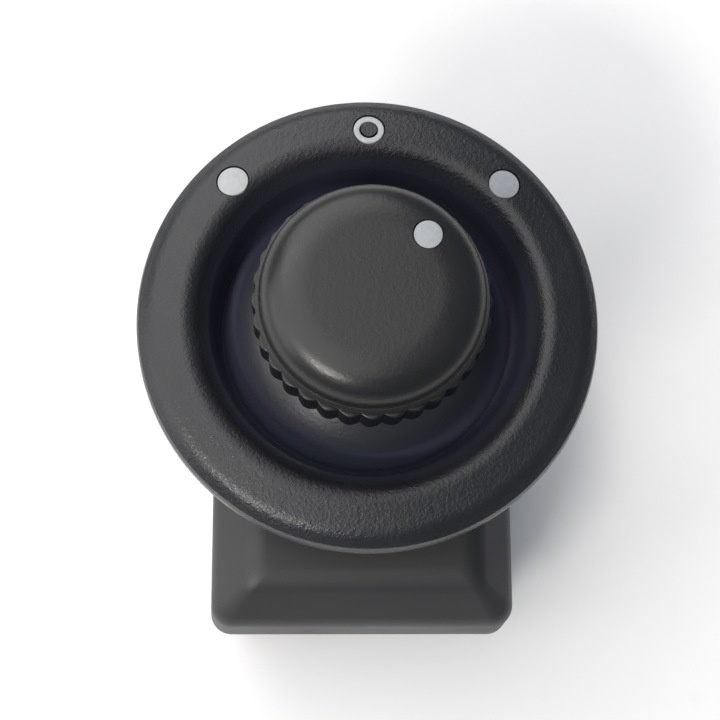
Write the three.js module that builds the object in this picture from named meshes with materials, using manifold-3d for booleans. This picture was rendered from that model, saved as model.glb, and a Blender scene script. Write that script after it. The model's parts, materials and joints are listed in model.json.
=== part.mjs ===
// A panel-mounted control switch: a round grained bezel on a rectangular housing, with a knob that
// turns between three marked positions and also tilts in four directions as a sprung joystick.
// Millimetres, +Z up along the knob's axis, z = 0 on the flat underside, x = y = 0 on the knob's axis.
import * as THREE from 'three';
import { mergeVertices } from 'three/addons/utils/BufferGeometryUtils.js';
import Module from 'manifold-3d';

const wasm = await Module();
wasm.setup();

// ---- Driving dimensions ----
const GAP = 0.3; // air between pieces that touch, slide or turn
const MARK_GAP = 0.2; // groove around each inlaid mark

// Housing: a box with a wide chamfer round its top, longer on its -Y side, with a round neck.
// Its plan is given at the chamfer's lower edge; the walls below spread outward by DRAFT per mm.
const HALF_WIDTH = 13.25;
const NORTH_END = 13.25;
const SOUTH_END = -24.3;
const HOUSING_LOW = 9.5;
const DRAFT = 0.06;
const CORNER = 1.9;
const WALL = 1.8;
const SHOULDER = 22; // height of the housing's flat top face
const CHAMFER_RUN = 3.5;
const CHAMFER_DROP = 4;
const NECK_RADIUS = 12;
const NECK_BORE = 10.5;
const NECK_TOP = 26.3;
const BEARING_LEDGE = 17.3; // the rotor's flange turns under this ledge
const POCKET_RADIUS = 11.35; // room for the flange

// Lower cover: a tub a little smaller than the housing, with the connector's socket in its floor.
// The insets are measured from the housing's plan.
const COVER_FLOOR = 2.4;
const COVER_HIGH = 9.2;
const COVER_INSET = 0.4;
const COVER_WALL = 1.4;
const LIP = { inset: 1.75, wall: 1, low: 8, high: 10.4 };
const SCREW_AT = [[9.7, 9.7], [-9.7, 9.7], [9.7, -20.8], [-9.7, -20.8]];
const SCREW_RADIUS = 1;
const SCREW_LENGTH = 14;
const SCREW_HOLE_TOP = 15;
const HEAD_RADIUS = 2.1;
const HEAD_HEIGHT = 1.2;
const BOSS_RADIUS = 2.3;
const BOSS_TOP = 17.5;
const COLUMN_RADIUS = 3;
const SOCKET = { halfX: 6.2, south: -21.4, north: -12, depth: 9.2, wall: 1.2 };
const PIN_SIZE = 0.64;
const PIN_PITCH = 2.54;
const PIN_ROW_SPACING = 3;
const PIN_LOW = 4.6;
const PIN_HIGH = 13.4;

// Circuit board and what lies on it.
const BOARD_LOW = 10.7;
const BOARD_TOP = 12.3;
const DOME_CIRCLE = 5.6;
const DOME_TOP = 15.6;

// Bezel: a ring with a grained flange, a moat, and a fixed dome-shaped mound under the knob.
const RIM_RADIUS = 19;
const RIM_Z = 30;
const SEAT_Z = 29.7; // the flange's flat underside
const MOUND = { radius: 16, centre: [0, 18.3], wall: 1.2, edge: 9.8, shoulder: 6.5 };
const MOAT_FOOT = [12.2, 27.35];
const MOUND_HOLE = 5.2;
const MARK_CIRCLE = 15.85;
const MARK_RADIUS = 1.27;
const RING_HOLE = 0.78;
const FLANGE_SLOPE = 10; // degrees, the flange rises inward
const SLEEVE = { bore: 12.3, radius: 13.9, low: 24.1 }; // fits round the housing's neck
const CLIP = { count: 4, low: 25, high: 26.2, reach: 13.4, width: 4.6 };

// Joystick and rotor.
const TILT_Z = 22; // the point about which the knob tilts
const ROTOR_RADIUS = 10.2;
const ROTOR_BORE = 8.6;
const ROTOR_LOW = 14.9;
const ROTOR_TOP = 26;
const ROTOR_FLANGE = 10.95;
const ROTOR_FLANGE_TOP = 16.9;
const DETENT_DEPTH = 0.6;
const SELECTOR_STEP = 45; // degrees between positions
const SELECTOR_TRAVEL = 90;
const PIVOT_PIN = 0.7;
const STEM_RADIUS = 2.8;
const STEM_TOP = 40.1;
const CUP_TOP = 20.4; // roof of the stem's hollow, where the return spring bears
const SPRING_RADIUS = 1.9; // clear of the cup when the stem tilts both ways at once
const GIMBAL = { bore: 5.9, radius: 8.2, half: 1.6 };
const PLATE_LOW = 16;
const PLATE_RADIUS = 6.8;

// Knob.
const KNOB_TOP = 42;
const KNOB_RADIUS = 9.1;
const LIP_Z = 38;
const GRIP_LOW = 34;
const GRIP_RADIUS = 9.4;
const GRIP_WAVE = 0.2;
const GRIP_LOBES = 32;
const KNOB_MARK_CIRCLE = 5.75;
const KNOB_MARK_RADIUS = 1.1;
const KNOB_POINTS = 45; // degrees from +X, where the knob points at rest

const degrees = Math.PI / 180;

// ---- Geometry helpers ----

// A closed three.js geometry as a manifold solid, faces pointing out.
function solid(geometry) {
  const bare = geometry.clone();
  bare.deleteAttribute('normal');
  bare.deleteAttribute('uv');
  const merged = mergeVertices(bare, 1e-4);
  const place = merged.attributes.position;
  const index = merged.index.array;
  const triangles = [];
  let volume = 0;
  const [a, b, c] = [new THREE.Vector3(), new THREE.Vector3(), new THREE.Vector3()];
  for (let i = 0; i < index.length; i += 3) {
    const [p, q, r] = [index[i], index[i + 1], index[i + 2]];
    if (p === q || q === r || r === p) continue;
    triangles.push(p, q, r);
    a.fromBufferAttribute(place, p);
    b.fromBufferAttribute(place, q);
    c.fromBufferAttribute(place, r);
    volume += a.dot(b.cross(c));
  }
  if (volume < 0) triangles.reverse();
  return new wasm.Manifold(new wasm.Mesh({
    numProp: 3,
    vertProperties: new Float32Array(place.array),
    triVerts: new Uint32Array(triangles),
  }));
}

// A solid turned about Z from a profile of [radius, height] points.
function revolve(profile, segments) {
  const points = profile.map(([r, z]) => new THREE.Vector2(r, z));
  const onAxis = profile[0][0] === 0 && profile.at(-1)[0] === 0;
  if (!onAxis) points.push(points[0].clone());
  return solid(new THREE.LatheGeometry(points, segments).rotateX(Math.PI / 2));
}

function cylinder(radius, low, high, segments, [x, y] = [0, 0]) {
  const shape = new THREE.CylinderGeometry(radius, radius, high - low, segments);
  return solid(shape.rotateX(Math.PI / 2).translate(x, y, (low + high) / 2));
}

// A round bar from one point to another along X or Y.
function crossBar(radius, from, to, axis, z) {
  const shape = new THREE.CylinderGeometry(radius, radius, to - from, 12);
  if (axis === 'x') shape.rotateZ(Math.PI / 2).translate((from + to) / 2, 0, z);
  else shape.translate(0, (from + to) / 2, z);
  return solid(shape);
}

function block(low, high) {
  const size = high.map((value, i) => value - low[i]);
  const middle = high.map((value, i) => (value + low[i]) / 2);
  return solid(new THREE.BoxGeometry(...size).translate(...middle));
}

// Points of an arc in a profile, from one angle to another, ends included.
function arc([r, z], radius, from, to, steps) {
  return Array.from({ length: steps + 1 }, (_, i) => {
    const angle = (from + ((to - from) * i) / steps) * degrees;
    return [r + radius * Math.cos(angle), z + radius * Math.sin(angle)];
  });
}

function outline(points) {
  return new THREE.Shape(points.map(([x, y]) => new THREE.Vector2(x, y)));
}

function extrude(shape, low, high) {
  const settings = { depth: high - low, bevelEnabled: false, curveSegments: 5 };
  return solid(new THREE.ExtrudeGeometry(shape, settings).translate(0, 0, low));
}

function roundedRectangle(halfX, south, north, radius) {
  const shape = new THREE.Shape();
  shape.absarc(halfX - radius, north - radius, radius, 0, Math.PI / 2);
  shape.absarc(-halfX + radius, north - radius, radius, Math.PI / 2, Math.PI);
  shape.absarc(-halfX + radius, south + radius, radius, Math.PI, Math.PI * 1.5);
  shape.absarc(halfX - radius, south + radius, radius, Math.PI * 1.5, Math.PI * 2);
  return shape;
}

function cut(whole, ...tools) {
  return tools.reduce((rest, tool) => rest.subtract(tool), whole);
}

const group = new THREE.Group();

function addPiece(name, piece, [color, roughness, metalness]) {
  const mesh = piece.getMesh();
  const geometry = new THREE.BufferGeometry();
  geometry.setAttribute('position', new THREE.BufferAttribute(mesh.vertProperties, 3));
  geometry.setIndex(new THREE.BufferAttribute(mesh.triVerts, 1));
  const node = new THREE.Mesh(geometry, new THREE.MeshStandardMaterial({ color, roughness, metalness }));
  node.name = name;
  group.add(node);
}

// ---- Finishes: colour, roughness, metalness ----
const HOUSING_PLASTIC = [0x2e3034, 0.55, 0];
const BEZEL_PLASTIC = [0x2c2e33, 0.6, 0];
const KNOB_PLASTIC = [0x2a2c30, 0.45, 0];
const MARK_PLASTIC = [0xc4c4c6, 0.5, 0];
const INNER_PLASTIC = [0xd8d4c8, 0.5, 0];
const BOARD = [0x2c5a3a, 0.5, 0];
const RUBBER = [0x54565a, 0.8, 0];
const STEEL = [0xb4b6ba, 0.3, 1];
const CONTACT_METAL = [0xd0a860, 0.3, 1];

// ---- Housing ----

// The housing's plan moved inward, with its corners rounded.
function plan(inset, corner) {
  return roundedRectangle(HALF_WIDTH - inset, SOUTH_END + inset, NORTH_END - inset, corner);
}

// A block whose sides slope inward by run while it rises by drop, up to its flat top.
function slopedBlock(top, run, drop, high) {
  const body = 60;
  return solid(new THREE.ExtrudeGeometry(top, {
    depth: body,
    curveSegments: 5,
    bevelEnabled: true,
    bevelThickness: drop,
    bevelSize: run,
    bevelSegments: 1,
  }).translate(0, 0, high - body - drop));
}

// The housing's outer or inner form: drafted walls under a wide mitred chamfer and a flat top.
function chamferedBox(inset, corner, low, high) {
  const beyond = 1.3; // the chamfer's slope runs on past the walls
  const top = outline(plan(inset + CHAMFER_RUN, 0.01).getPoints(1));
  const roof = slopedBlock(top, CHAMFER_RUN * beyond, CHAMFER_DROP * beyond, high);
  const height = high - low;
  const walls = slopedBlock(plan(inset + DRAFT * CHAMFER_DROP, corner), DRAFT * height, height, high);
  return walls.intersect(roof).intersect(block([-40, -40, low], [40, 40, high + 1]));
}

// One wedge on the neck that a window in the bezel's sleeve clips over.
function clipWedge(angle) {
  const { low, high, reach, width } = CLIP;
  const side = outline([[NECK_RADIUS - 0.6, low], [reach, low], [reach, low + 0.3],
    [NECK_RADIUS, high], [NECK_RADIUS - 0.6, high]]);
  const wedge = new THREE.ExtrudeGeometry(side, { depth: width, bevelEnabled: false });
  wedge.translate(0, 0, -width / 2).rotateX(Math.PI / 2).rotateZ(angle);
  return solid(wedge);
}

function clipAngles() {
  return Array.from({ length: CLIP.count }, (_, i) => Math.PI / 4 + (i * 2 * Math.PI) / CLIP.count);
}

// A slice of a ring, between two angles in degrees.
function ringSector(inner, outer, low, high, from, to) {
  const shape = new THREE.Shape();
  shape.absarc(0, 0, outer, from * degrees, to * degrees);
  shape.absarc(0, 0, inner, to * degrees, from * degrees, true);
  const settings = { depth: high - low, bevelEnabled: false, curveSegments: 16 };
  return solid(new THREE.ExtrudeGeometry(shape, settings).translate(0, 0, low));
}

const STOP_LUG = { from: 219, to: 231, low: ROTOR_FLANGE_TOP - 0.5, high: 18.6, outer: 11.6 };
const DETENT_POST = { x: 7.4, y: -13.4, radius: 0.9 };

function housing() {
  const low = HOUSING_LOW;
  let shell = chamferedBox(0, CORNER, low, SHOULDER);
  shell = shell.subtract(chamferedBox(WALL, 0.6, low - 1, SHOULDER - WALL));
  shell = shell.add(cylinder(NECK_RADIUS, BEARING_LEDGE, NECK_TOP, 48));
  for (const at of SCREW_AT) shell = shell.add(cylinder(BOSS_RADIUS, low, BOSS_TOP, 16, at));
  for (const side of [-1, 1]) {
    const at = [side * DETENT_POST.x, DETENT_POST.y];
    shell = shell.add(cylinder(DETENT_POST.radius, 14.2, SHOULDER - 1, 12, at));
  }
  for (const angle of clipAngles()) shell = shell.add(clipWedge(angle));
  const sweep = ringSector(NECK_BORE - 0.2, 12.4, BEARING_LEDGE - 0.2, STOP_LUG.high + GAP,
    STOP_LUG.from - 2, STOP_LUG.to + SELECTOR_TRAVEL + 2);
  shell = cut(shell,
    cylinder(NECK_BORE, 10, NECK_TOP + 1, 48),
    cylinder(POCKET_RADIUS, 13, BEARING_LEDGE, 48),
    sweep);
  for (const at of SCREW_AT) {
    shell = shell.subtract(cylinder(SCREW_RADIUS + GAP, 0, SCREW_HOLE_TOP, 12, at));
  }
  return shell;
}

// ---- Lower cover and connector ----

function pinPlaces() {
  const middle = (SOCKET.south + SOCKET.north) / 2;
  const places = [];
  for (const row of [-0.5, 0.5]) {
    for (const column of [-1.5, -0.5, 0.5, 1.5]) {
      places.push([column * PIN_PITCH, middle + row * PIN_ROW_SPACING]);
    }
  }
  return places;
}

function squareBar([x, y], size, low, high) {
  return block([x - size / 2, y - size / 2, low], [x + size / 2, y + size / 2, high]);
}

function lowerCover() {
  const { halfX, south, north, depth, wall } = SOCKET;
  let cover = extrude(plan(COVER_INSET, CORNER), 0, COVER_HIGH);
  cover = cut(cover.add(extrude(plan(LIP.inset, 0.8), 1, LIP.high)),
    extrude(plan(COVER_INSET + COVER_WALL, 0.8), COVER_FLOOR, LIP.low),
    extrude(plan(LIP.inset + LIP.wall, 0.8), LIP.low - 1, LIP.high + 1));
  for (const at of SCREW_AT) {
    cover = cover.subtract(cylinder(BOSS_RADIUS + GAP, COVER_HIGH, LIP.high + 1, 16, at));
    cover = cover.add(cylinder(COLUMN_RADIUS, 1, COVER_HIGH, 16, at));
  }
  cover = cover.add(block([-halfX - wall, south - wall, 1], [halfX + wall, north + wall, depth + wall]));
  for (const x of [-7.5, 7.5]) {
    for (const y of [-8, 6]) cover = cover.add(cylinder(1.5, 1, BOARD_LOW - GAP, 12, [x, y]));
  }
  cover = cover.subtract(block([-halfX, south, -1], [halfX, north, depth]));
  for (const at of pinPlaces()) {
    cover = cover.subtract(squareBar(at, PIN_SIZE + 2 * GAP, depth - 1, depth + wall + 1));
  }
  for (const at of SCREW_AT) {
    cover = cut(cover,
      cylinder(SCREW_RADIUS + GAP, -1, COVER_HIGH + 1, 12, at),
      cylinder(HEAD_RADIUS + GAP, -1, HEAD_HEIGHT + GAP, 20, at));
  }
  return cover;
}

// A pan-head screw with a cross recess, head down.
function coverScrew([x, y]) {
  const head = HEAD_RADIUS;
  const profile = [[0, 0.2], [head * 0.7, 0.2], [head, 0.6], [head, HEAD_HEIGHT],
    [SCREW_RADIUS, HEAD_HEIGHT], [SCREW_RADIUS, SCREW_LENGTH - 1], [0.3, SCREW_LENGTH], [0, SCREW_LENGTH]];
  const arm = 1.15;
  const slot = 0.25;
  return cut(revolve(profile, 12),
    block([-arm, -slot, -1], [arm, slot, 0.8]),
    block([-slot, -arm, -1], [slot, arm, 0.8])).translate([x, y, 0]);
}

// ---- Circuit board, rubber mat and springs ----

function board() {
  const edge = HALF_WIDTH - WALL - 0.4;
  const south = SOUTH_END + WALL + 0.4;
  let sheet = block([-edge, south, BOARD_LOW], [edge, edge, BOARD_TOP]);
  for (const at of SCREW_AT) sheet = sheet.subtract(cylinder(BOSS_RADIUS + 0.4, 8, 14, 16, at));
  for (const at of pinPlaces()) sheet = sheet.subtract(squareBar(at, PIN_SIZE + 2 * GAP, 8, 14));
  return sheet;
}

// Four hollow push domes on a thin ring of silicone.
function domeMat() {
  const low = BOARD_TOP + GAP;
  const sheet = low + 0.6;
  let mat = revolve([[3.6, low], [7.9, low], [7.9, sheet], [3.6, sheet]], 24);
  const places = [0, 90, 180, 270].map((angle) => {
    return [DOME_CIRCLE * Math.cos(angle * degrees), DOME_CIRCLE * Math.sin(angle * degrees), 0];
  });
  for (const at of places) {
    const dome = revolve([[0, low], [1.9, low], [1.9, sheet], [1.3, DOME_TOP - 0.5],
      [1, DOME_TOP], [0, DOME_TOP]], 12);
    mat = mat.add(dome.translate(at));
  }
  for (const at of places) {
    const hollow = revolve([[0, low - 1], [1.3, low - 1], [1.3, sheet], [0.7, DOME_TOP - 1.1],
      [0, DOME_TOP - 1.1]], 8);
    mat = mat.subtract(hollow.translate(at));
  }
  return mat;
}

// The helix that a coil spring's wire follows.
class Helix extends THREE.Curve {
  constructor(radius, low, high, turns) {
    super();
    Object.assign(this, { radius, low, high, turns });
  }

  getPoint(t, target = new THREE.Vector3()) {
    const angle = t * this.turns * 2 * Math.PI;
    const x = this.radius * Math.cos(angle);
    const y = this.radius * Math.sin(angle);
    return target.set(x, y, this.low + t * (this.high - this.low));
  }
}

function returnSpring() {
  const wire = 0.25;
  const turns = 5;
  const path = new Helix(SPRING_RADIUS, BOARD_TOP + GAP + wire, CUP_TOP - 0.4 - wire, turns);
  const section = new THREE.Shape();
  section.absarc(0, 0, wire, 0, 2 * Math.PI);
  return solid(new THREE.ExtrudeGeometry(section, {
    steps: turns * 12,
    curveSegments: 3,
    bevelEnabled: false,
    extrudePath: path,
  }));
}

// A flat strip of the given thickness along a path of [x, y] points, as a closed outline.
function stripOutline(points, thickness) {
  const middle = points.map(([x, y]) => new THREE.Vector2(x, y));
  const sides = [[], []];
  middle.forEach((point, i) => {
    const before = middle[Math.max(i - 1, 0)];
    const after = middle[Math.min(i + 1, middle.length - 1)];
    const along = after.clone().sub(before).normalize();
    const across = new THREE.Vector2(-along.y, along.x).multiplyScalar(thickness / 2);
    sides[0].push(point.clone().add(across));
    sides[1].unshift(point.clone().sub(across));
  });
  return new THREE.Shape([...sides[0], ...sides[1]]);
}

// A flat spring whose nose rests in the rotor's notch; its ends hook round two posts.
function detentSpring() {
  const line = -12.15;
  const end = 8.9;
  const nose = -ROTOR_FLANGE + DETENT_DEPTH - 0.3;
  const half = [[0.35, nose], [1.7, line], [end - 0.3, line], [end, line - 0.3], [end, line - 2]];
  const mirrored = half.map(([x, y]) => [-x, y]).reverse();
  return extrude(stripOutline([...mirrored, ...half], 0.25), ROTOR_LOW + 0.2, ROTOR_FLANGE_TOP - 0.2);
}

// ---- Bezel and its marks ----

function bezel() {
  const { radius, centre, wall, edge, shoulder } = MOUND;
  const inner = radius - wall;
  const lean = (reach, size) => Math.acos(reach / size) / degrees;
  const turn = lean(edge, radius);
  const shoulderCentre = [centre[0] + (radius - shoulder) * Math.cos(turn * degrees),
    centre[1] + (radius - shoulder) * Math.sin(turn * degrees)];
  const profile = [
    ...arc(centre, radius, lean(MOUND_HOLE, radius), turn, 3),
    ...arc(shoulderCentre, shoulder, turn, 15, 4).slice(1),
    MOAT_FOOT, [12.75, 30],
    ...arc([14.5, 31.75], 1.55, 165, 80, 3),
    [17.7, 32.73], [18.7, 31.85], [18.9, 31.4],
    [RIM_RADIUS, RIM_Z], [RIM_RADIUS - 0.2, SEAT_Z],
    [17.3, SEAT_Z], [17, 31.2], [SLEEVE.radius + 0.3, 31.2], [SLEEVE.radius, 30.9],
    [SLEEVE.radius, SLEEVE.low], [SLEEVE.bore, SLEEVE.low], [SLEEVE.bore, NECK_TOP + GAP],
    [11, NECK_TOP + GAP],
    ...arc(centre, inner, lean(10.8, inner), lean(MOUND_HOLE, inner), 3),
  ];
  let ring = revolve(profile, 48);
  for (const angle of clipAngles()) {
    const window = new THREE.BoxGeometry(2.6, CLIP.width + 2 * GAP, CLIP.high - CLIP.low + 0.8);
    window.translate(13.2, 0, (CLIP.low + CLIP.high) / 2).rotateZ(angle);
    ring = ring.subtract(solid(window));
  }
  for (const position of [-1, 0, 1]) {
    const pocket = cylinder(MARK_RADIUS + MARK_GAP, -0.8, 2, 20);
    const post = cylinder(RING_HOLE - MARK_GAP, -1, 3, 12);
    ring = ring.subtract(onFlange(position === 0 ? pocket.subtract(post) : pocket, position));
  }
  return ring;
}

// Places something made at the origin on the flange's sloping top, at one of the three positions.
function onFlange(piece, position) {
  const angle = 90 - position * SELECTOR_STEP;
  const height = 33.07;
  return piece.rotate([0, FLANGE_SLOPE, 0]).translate([MARK_CIRCLE, 0, height]).rotate([0, 0, angle]);
}

function mark(position) {
  const disc = cylinder(MARK_RADIUS, -0.6, -0.05, 20);
  return onFlange(position === 0 ? disc.subtract(cylinder(RING_HOLE, -2, 2, 16)) : disc, position);
}

// ---- Rotor and joystick ----

function rotor() {
  let body = revolve([
    [ROTOR_BORE, ROTOR_LOW], [ROTOR_FLANGE, ROTOR_LOW], [ROTOR_FLANGE, ROTOR_FLANGE_TOP],
    [ROTOR_RADIUS, ROTOR_FLANGE_TOP], [ROTOR_RADIUS, ROTOR_TOP], [ROTOR_BORE, ROTOR_TOP],
  ], 40);
  body = body.add(ringSector(ROTOR_RADIUS - 0.8, STOP_LUG.outer, STOP_LUG.low, STOP_LUG.high,
    STOP_LUG.from, STOP_LUG.to));
  for (const step of [0, 1, 2]) {
    const notch = outline([[ROTOR_FLANGE - DETENT_DEPTH, -0.3], [ROTOR_FLANGE + 0.6, -1.6],
      [ROTOR_FLANGE + 0.6, 1.6], [ROTOR_FLANGE - DETENT_DEPTH, 0.3]]);
    const angle = -90 - step * SELECTOR_STEP;
    body = body.subtract(extrude(notch, ROTOR_LOW - 1, ROTOR_FLANGE_TOP + 0.02).rotate([0, 0, angle]));
  }
  const bore = PIVOT_PIN + GAP;
  return cut(body, crossBar(bore, 7, 12, 'x', TILT_Z), crossBar(bore, -12, -7, 'x', TILT_Z));
}

// A sprung contact strip under the rotor that sweeps over the board.
function wiper(angle) {
  const side = stripOutline([[-3, ROTOR_LOW - GAP - 0.15], [0.4, ROTOR_LOW - GAP - 0.15],
    [2.6, BOARD_TOP + 0.3], [3.4, BOARD_TOP + 0.55]], 0.2);
  const width = 1.6;
  const strip = new THREE.ExtrudeGeometry(side, { depth: width, bevelEnabled: false });
  strip.rotateX(Math.PI / 2).translate(0, ROTOR_BORE + 0.4 + width, 0).rotateZ(angle * degrees);
  return solid(strip);
}

function gimbalRing() {
  const [low, high] = [TILT_Z - GIMBAL.half, TILT_Z + GIMBAL.half];
  const ring = revolve([[GIMBAL.bore, low], [GIMBAL.radius, low], [GIMBAL.radius, high],
    [GIMBAL.bore, high]], 28);
  const bore = PIVOT_PIN + GAP;
  return cut(ring, crossBar(bore, -12, 12, 'x', TILT_Z), crossBar(bore, -12, 12, 'y', TILT_Z));
}

function joystickStem() {
  const body = revolve([
    [3.3, PLATE_LOW], [4.1, PLATE_LOW], [4.1, 17.7], [4.9, 17.9], [4.9, 20], [5.5, 20.5],
    [5.5, 23.5], [4.6, 24.2], [STEM_RADIUS, 26], [STEM_RADIUS, STEM_TOP - 0.4],
    [STEM_RADIUS - 0.4, STEM_TOP], [0.8, STEM_TOP], [0.8, 30], [0.8, CUP_TOP], [3.3, CUP_TOP],
  ], 24);
  const bore = PIVOT_PIN + GAP;
  return cut(body, crossBar(bore, 3.6, 12, 'y', TILT_Z), crossBar(bore, -12, -3.6, 'y', TILT_Z));
}

function actuatorPlate() {
  return revolve([[4.4, PLATE_LOW], [6.4, PLATE_LOW], [PLATE_RADIUS, PLATE_LOW + 0.4],
    [PLATE_RADIUS, 17.1], [6.5, 17.4], [4.4, 17.4]], 28);
}

// ---- Knob ----

// The skirt under the knob's cap: an inner web and hub, and a scalloped outer wall.
function gripRing() {
  const perLobe = 4;
  const count = GRIP_LOBES * perLobe;
  const wave = Array.from({ length: count }, (_, i) => {
    const angle = (i / count) * 2 * Math.PI;
    const radius = GRIP_RADIUS - GRIP_WAVE + GRIP_WAVE * Math.cos(angle * GRIP_LOBES);
    return [radius * Math.cos(angle), radius * Math.sin(angle)];
  });
  const high = LIP_Z - GAP;
  const wall = extrude(outline(wave), GRIP_LOW, high);
  const hollow = revolve([[0, GRIP_LOW - 1], [8.1, GRIP_LOW - 1], [8.1, 35.9], [4.6, 35.9],
    [4.6, 35.6], [0, 35.6]], 32);
  return cut(wall, hollow, cylinder(STEM_RADIUS + GAP, 30, 40, 32));
}

function knobCap() {
  const profile = [
    [0, KNOB_TOP], [5.9, KNOB_TOP - 0.04],
    ...arc([KNOB_RADIUS - 2.85, KNOB_TOP - 2.85], 2.8, 80, 10, 5),
    [KNOB_RADIUS, LIP_Z + 0.9], [KNOB_RADIUS - 0.05, LIP_Z + 0.25],
    [KNOB_RADIUS - 0.25, LIP_Z], [7.9, LIP_Z], [7.5, LIP_Z + 0.4], [7.3, LIP_Z + 1.6],
    [6.2, 40.4], [4.4, 40.4], [4.4, LIP_Z], [STEM_RADIUS + GAP, LIP_Z],
    [STEM_RADIUS + GAP, STEM_TOP + GAP], [0, STEM_TOP + GAP],
  ];
  const pocket = cylinder(KNOB_MARK_RADIUS + MARK_GAP, KNOB_TOP - 0.7, KNOB_TOP + 1, 20);
  return revolve(profile, 40).subtract(onKnob(pocket));
}

function onKnob(piece) {
  return piece.translate([KNOB_MARK_CIRCLE, 0, 0]).rotate([0, 0, KNOB_POINTS]);
}

function knobMark() {
  return onKnob(cylinder(KNOB_MARK_RADIUS, KNOB_TOP - 0.5, KNOB_TOP - 0.1, 20));
}

// ---- The whole switch ----
addPiece('housing', housing(), HOUSING_PLASTIC);
addPiece('lower_cover', lowerCover(), HOUSING_PLASTIC);
addPiece('bezel', bezel(), BEZEL_PLASTIC);
addPiece('mark_left', mark(-1), MARK_PLASTIC);
addPiece('mark_off_ring', mark(0), MARK_PLASTIC);
addPiece('mark_right', mark(1), MARK_PLASTIC);
addPiece('circuit_board', board(), BOARD);
addPiece('dome_mat', domeMat(), RUBBER);
addPiece('return_spring', returnSpring(), STEEL);
addPiece('detent_spring', detentSpring(), STEEL);
pinPlaces().forEach((at, i) => {
  addPiece(`connector_pin_${i + 1}`, squareBar(at, PIN_SIZE, PIN_LOW, PIN_HIGH), CONTACT_METAL);
});
SCREW_AT.forEach((at, i) => addPiece(`cover_screw_${i + 1}`, coverScrew(at), STEEL));
addPiece('rotor', rotor(), INNER_PLASTIC);
addPiece('wiper_east', wiper(-80), CONTACT_METAL);
addPiece('wiper_west', wiper(100), CONTACT_METAL);
addPiece('gimbal_ring', gimbalRing(), INNER_PLASTIC);
addPiece('ring_pin_east', crossBar(PIVOT_PIN, 6.3, 9.9, 'x', TILT_Z), STEEL);
addPiece('ring_pin_west', crossBar(PIVOT_PIN, -9.9, -6.3, 'x', TILT_Z), STEEL);
addPiece('joystick_stem', joystickStem(), INNER_PLASTIC);
addPiece('stem_pin_north', crossBar(PIVOT_PIN, 4, 7.9, 'y', TILT_Z), STEEL);
addPiece('stem_pin_south', crossBar(PIVOT_PIN, -7.9, -4, 'y', TILT_Z), STEEL);
addPiece('actuator_plate', actuatorPlate(), INNER_PLASTIC);
addPiece('grip_ring', gripRing(), KNOB_PLASTIC);
addPiece('knob_cap', knobCap(), KNOB_PLASTIC);
addPiece('knob_mark', knobMark(), MARK_PLASTIC);

export default group;
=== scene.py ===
"""Looks for the rotary joystick selector switch: fine meshes for its mouldings, springs and marks,
moulded-plastic, metal and rubber materials, a pale table, soft light and the camera."""
import json
import math

import bmesh
import bpy
from mathutils import Matrix, Vector


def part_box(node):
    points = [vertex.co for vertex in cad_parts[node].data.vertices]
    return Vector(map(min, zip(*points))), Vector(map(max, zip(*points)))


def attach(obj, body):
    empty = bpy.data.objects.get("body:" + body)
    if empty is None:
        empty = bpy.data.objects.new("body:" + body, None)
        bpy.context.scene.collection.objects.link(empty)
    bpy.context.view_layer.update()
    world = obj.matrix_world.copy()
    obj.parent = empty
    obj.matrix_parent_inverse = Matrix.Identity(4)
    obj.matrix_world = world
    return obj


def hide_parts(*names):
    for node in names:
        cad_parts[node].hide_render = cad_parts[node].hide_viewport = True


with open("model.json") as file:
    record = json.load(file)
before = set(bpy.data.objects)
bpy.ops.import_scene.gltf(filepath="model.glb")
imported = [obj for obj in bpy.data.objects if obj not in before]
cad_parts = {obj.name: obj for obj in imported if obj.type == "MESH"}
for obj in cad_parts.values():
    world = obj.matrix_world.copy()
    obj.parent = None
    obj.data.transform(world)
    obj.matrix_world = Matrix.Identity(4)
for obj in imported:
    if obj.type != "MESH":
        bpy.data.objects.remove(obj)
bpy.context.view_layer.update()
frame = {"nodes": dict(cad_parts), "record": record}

MM = 0.001


def node_box(name):
    """A node's lowest and highest corners at rest, in millimetres."""
    low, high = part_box(name)
    return [value / MM for value in low], [value / MM for value in high]


# ---- Sizes, in millimetres, taken from the frame or repeated from the part's design ----
HOUSING_LOW, HOUSING_HIGH = node_box("housing")
COVER_HIGH = node_box("lower_cover")[1]
BEZEL_LOW, BEZEL_HIGH = node_box("bezel")
GRIP_LOW, GRIP_HIGH = node_box("grip_ring")
CAP_LOW, CAP_HIGH = node_box("knob_cap")
SPRING_LOW, SPRING_HIGH = node_box("return_spring")

HOUSING_BOTTOM = HOUSING_LOW[2]
NECK_TOP = HOUSING_HIGH[2]
HALF_WIDTH = 13.25
NORTH_END = 13.25
SOUTH_END = -24.3
DRAFT = 0.06
CORNER = 1.9
WALL = 1.8
SHOULDER = 22
CHAMFER_RUN = 3.5
CHAMFER_DROP = 4
NECK_RADIUS = 12
NECK_BORE = 10.5
BEARING_LEDGE = 17.3
POCKET_RADIUS = 11.35
BOSS_RADIUS = 2.3
BOSS_TOP = 17.5
DETENT_POST = {"x": 7.4, "y": -13.4, "radius": 0.9, "low": 14.2, "high": 21}
STOP_START, STOP_END = 217, 323  # degrees swept by the rotor's stop lug, with its clearance
STOP_TOP = 18.9
STOP_INNER, STOP_OUTER = 10.3, 12.4
COVER_FLOOR = 2.4
COVER_TOP = 9.2
COVER_INSET = 0.4
COVER_WALL = 1.4
LIP_INSET = 1.75
LIP_WALL = 1
LIP_BOTTOM = 8
LIP_TOP = COVER_HIGH[2]
SCREW_AT = [(9.7, 9.7), (-9.7, 9.7), (9.7, -20.8), (-9.7, -20.8)]
COLUMN_RADIUS = 3
BOARD_POSTS = [(-7.5, -8), (-7.5, 6), (7.5, -8), (7.5, 6)]
SCREW_HOLE = 1.3
SCREW_HOLE_TOP = 15
HEAD_HOLE = 2.4
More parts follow.
